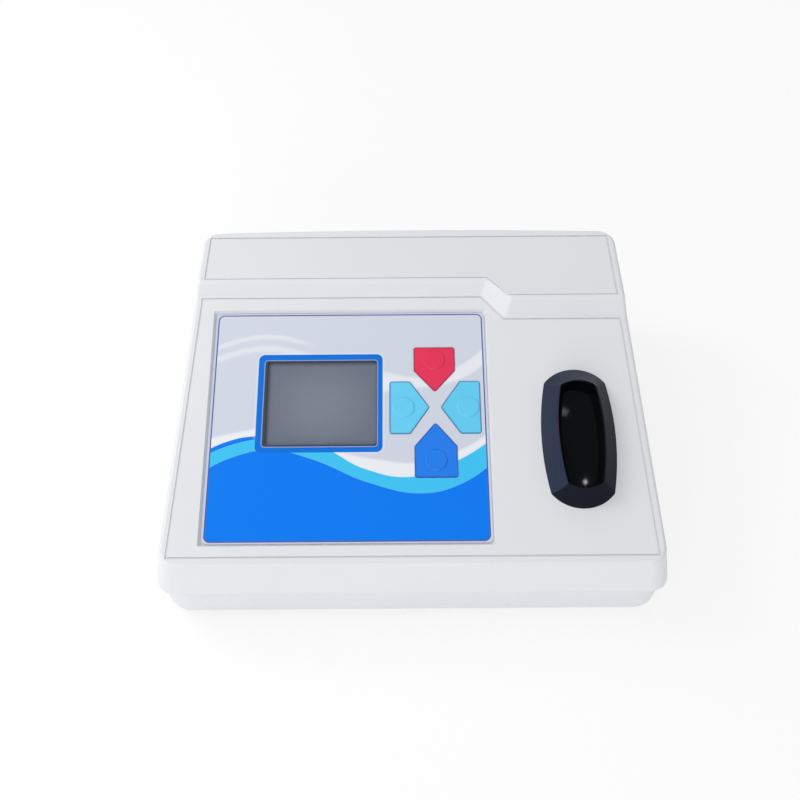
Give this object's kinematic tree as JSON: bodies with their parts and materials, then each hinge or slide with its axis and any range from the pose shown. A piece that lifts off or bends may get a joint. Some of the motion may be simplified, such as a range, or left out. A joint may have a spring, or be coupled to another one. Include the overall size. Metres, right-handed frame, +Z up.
{
  "type": "bench colorimeter",
  "caption": "Bench colorimeter: sloping keypad and display deck, raised back, and a sample well under a lift-off black light shield.",
  "frame": {"origin": "centre of the footprint, on the surface that the rubber feet stand on", "axes": "+X to the user's right along the front, +Y to the back, +Z up"},
  "size_m": [0.276, 0.208, 0.094],
  "materials": {
    "housing_grey": "glossy moulded plastic, pale grey",
    "base_grey": "glossy moulded plastic, grey",
    "foot_rubber": "soft black rubber",
    "screw_steel": "zinc-plated steel",
    "overlay_film": "printed polyester film",
    "key_red": "embossed film, red",
    "key_blue": "embossed film, blue",
    "key_cyan": "embossed film, cyan",
    "plunger_plastic": "natural acetal",
    "switch_black": "black moulded plastic",
    "board_green": "green circuit board",
    "window_clear": "clear acrylic window",
    "display_glass": "grey liquid-crystal glass",
    "backlight_white": "white diffuser",
    "frame_steel": "pressed steel frame",
    "cover_black": "polished black plastic",
    "seal_foam": "black foam",
    "chamber_black": "light-absorbing black plastic",
    "spring_steel": "spring steel",
    "filter_glass": "coloured glass filter",
    "lens_glass": "clear glass",
    "led_clear": "clear epoxy",
    "chip_black": "epoxy package",
    "can_metal": "bare can",
    "terminal_brass": "plated brass"
  },
  "bodies": {
    "housing": {"top_cover": "housing_grey", "base_shell": "base_grey", "foot_front_left": "foot_rubber", "foot_back_left": "foot_rubber", "foot_front_right": "foot_rubber", "foot_back_right": "foot_rubber", "case_screws": "screw_steel", "graphic_overlay": "overlay_film", "tact_switches": "switch_black", "keypad_board": "board_green", "keypad_screws": "screw_steel", "lcd_window": "window_clear", "lcd_glass": "display_glass", "lcd_backlight": "backlight_white", "lcd_bezel": "frame_steel", "lcd_board": "board_green", "lcd_screws": "screw_steel", "light_seal": "seal_foam", "chamber_collar": "chamber_black", "cuvette_holder": "chamber_black", "holder_screws": "screw_steel", "cell_spring": "spring_steel", "lamp_housing": "chamber_black", "colour_filter": "filter_glass", "lamp_lens": "lens_glass", "lamp_board": "board_green", "lamp_led": "led_clear", "detector_housing": "chamber_black", "photodiode": "can_metal", "detector_board": "board_green", "main_board": "board_green", "main_board_screws": "screw_steel", "processor_chips": "chip_black", "capacitors": "can_metal", "board_connectors": "backlight_white", "voltage_regulator": "chip_black", "switch_body": "switch_black", "switch_terminals": "terminal_brass", "power_inlet": "switch_black", "inlet_pin": "terminal_brass", "inlet_nut": "screw_steel"},
    "key_up": {"key_up": "key_red", "plunger_up": "plunger_plastic"},
    "key_down": {"key_down": "key_blue", "plunger_down": "plunger_plastic"},
    "key_left": {"key_left": "key_cyan", "plunger_left": "plunger_plastic"},
    "key_right": {"key_right": "key_cyan", "plunger_right": "plunger_plastic"},
    "sample_cover": {"sample_cover": "cover_black"},
    "rocker": {"switch_rocker": "switch_black"}
  },
  "joints": [
    {"name": "key_up_press", "type": "slide", "parent": "housing", "child": "key_up", "axis": [0, 0.1736, -0.9848], "range_m": [0, 0.0004], "stiffness_N_per_m": 4000},
    {"name": "key_down_press", "type": "slide", "parent": "housing", "child": "key_down", "axis": [0, 0.1736, -0.9848], "range_m": [0, 0.0004], "stiffness_N_per_m": 4000},
    {"name": "key_left_press", "type": "slide", "parent": "housing", "child": "key_left", "axis": [0, 0.1736, -0.9848], "range_m": [0, 0.0004], "stiffness_N_per_m": 4000},
    {"name": "key_right_press", "type": "slide", "parent": "housing", "child": "key_right", "axis": [0, 0.1736, -0.9848], "range_m": [0, 0.0004], "stiffness_N_per_m": 4000},
    {"name": "sample_cover_lift", "type": "slide", "parent": "housing", "child": "sample_cover", "axis": [0, -0.1736, 0.9848], "range_m": [0, 0.06]},
    {"name": "rocker_tilt", "type": "hinge", "parent": "housing", "child": "rocker", "pos_m": [-0.08, 0.0975, 0.018], "axis": [0, 0, 1], "range_deg": [0, 16]}
  ]
}
